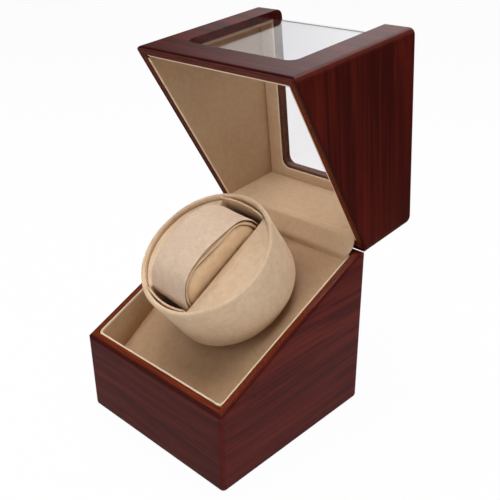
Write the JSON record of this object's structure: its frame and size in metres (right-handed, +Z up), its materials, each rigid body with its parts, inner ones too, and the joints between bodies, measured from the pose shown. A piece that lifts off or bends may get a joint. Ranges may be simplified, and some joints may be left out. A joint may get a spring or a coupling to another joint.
{
  "type": "watch winder",
  "caption": "Watch winder: veneered wooden case with a slanted seam, hinged lid with a wrapped clear window, and a tilted padded drum that holds a watch pillow and turns on a geared drive.",
  "frame": {"origin": "centre of the case's footprint, on the plane it stands on", "axes": "+Z up, -Y towards the front of the case, +X to the right as seen from the front"},
  "size_m": [0.125, 0.1785, 0.2437],
  "materials": {
    "veneer": "satin lacquered red-brown veneer",
    "pine": "plain sanded wood",
    "felt": "matte felt",
    "suede": "short-nap cloth over board",
    "cushion": "soft cream cloth over foam",
    "acrylic": "clear polished sheet",
    "brass": "satin",
    "steel": "zinc plated",
    "black_plastic": "fine satin",
    "white_plastic": "moulded acetal",
    "rubber": "matte",
    "board": "printed board"
  },
  "bodies": {
    "base": {"base_front_board": "veneer", "base_left_board": "veneer", "base_right_board": "veneer", "base_rear_board": "veneer", "bottom_board": "pine", "corner_blocks": "pine", "bottom_screws": "steel", "felt_pad": "felt", "deck_panel": "suede", "deck_cleats": "pine", "base_side_liners": "suede", "base_front_liner": "suede", "base_rear_liner": "suede", "hinge_cloth": "suede", "hinge_base_leaves": "brass", "hinge_pins": "brass", "hinge_base_screws": "brass", "shaft_bushes": "brass", "gear_plate": "steel", "plate_standoffs": "steel", "plate_screws": "steel", "idler_axle": "steel", "motor_gearbox": "steel", "motor_can": "steel", "motor_screws": "steel", "control_plate": "black_plastic", "control_screws": "steel", "dc_jack": "black_plastic", "rocker_housing": "black_plastic", "mode_switch_body": "black_plastic", "control_board": "board"},
    "lid": {"lid_front_frame": "veneer", "lid_top_frame": "veneer", "lid_left_board": "veneer", "lid_right_board": "veneer", "lid_rear_board": "veneer", "window_front_pane": "acrylic", "window_top_pane": "acrylic", "lid_front_liner": "suede", "lid_top_liner": "suede", "lid_rear_liner": "suede", "lid_side_liners": "suede", "hinge_lid_leaves": "brass", "hinge_lid_screws": "brass"},
    "drum": {"drum_cup": "cushion", "slot_block_left": "cushion", "slot_block_right": "cushion", "slot_liner": "cushion", "slot_cushion": "cushion", "drum_hub": "white_plastic", "drum_shaft": "steel", "drum_gear": "white_plastic"},
    "pillow": {"pillow_core": "cushion", "pillow_strip": "cushion", "pillow_end_panels": "cushion"},
    "idler": {"idler_gear": "white_plastic"},
    "pinion": {"motor_pinion": "brass"},
    "rocker": {"power_rocker": "black_plastic"},
    "slider": {"mode_slider": "black_plastic"}
  },
  "joints": [
    {"name": "lid_hinge", "type": "hinge", "parent": "base", "child": "lid", "pos_m": [0, 0.0626, 0.1124], "axis": [1, 0, 0], "range_deg": [0, 83.6], "deforming": ["hinge_cloth"]},
    {"name": "drum_spin", "type": "hinge", "parent": "base", "child": "drum", "pos_m": [0, 0.0138, 0.07834], "axis": [0, -0.575, 0.8181], "continuous": true},
    {"name": "pillow_slide", "type": "slide", "parent": "drum", "child": "pillow", "axis": [0, 0.575, -0.8181], "range_m": [-0.04, 0]},
    {"name": "power_switch", "type": "hinge", "parent": "base", "child": "rocker", "pos_m": [0, 0.0622, 0.028], "axis": [0, 0, 1], "range_deg": [0, 20]},
    {"name": "mode_switch", "type": "slide", "parent": "base", "child": "slider", "axis": [1, 0, 0], "range_m": [0, 0.006]},
    {"name": "idler_spin", "type": "hinge", "parent": "base", "child": "idler", "pos_m": [0.024, 0.0138, 0.07834], "axis": [0, -0.575, 0.8181], "continuous": true},
    {"name": "pinion_spin", "type": "hinge", "parent": "base", "child": "pinion", "pos_m": [0.0336, 0.0002, 0.06877], "axis": [0, -0.575, 0.8181], "continuous": true}
  ],
  "couplings": [
    {"joint": "idler_spin", "follows": "drum_spin", "ratio": -4},
    {"joint": "pinion_spin", "follows": "drum_spin", "ratio": 12}
  ]
}
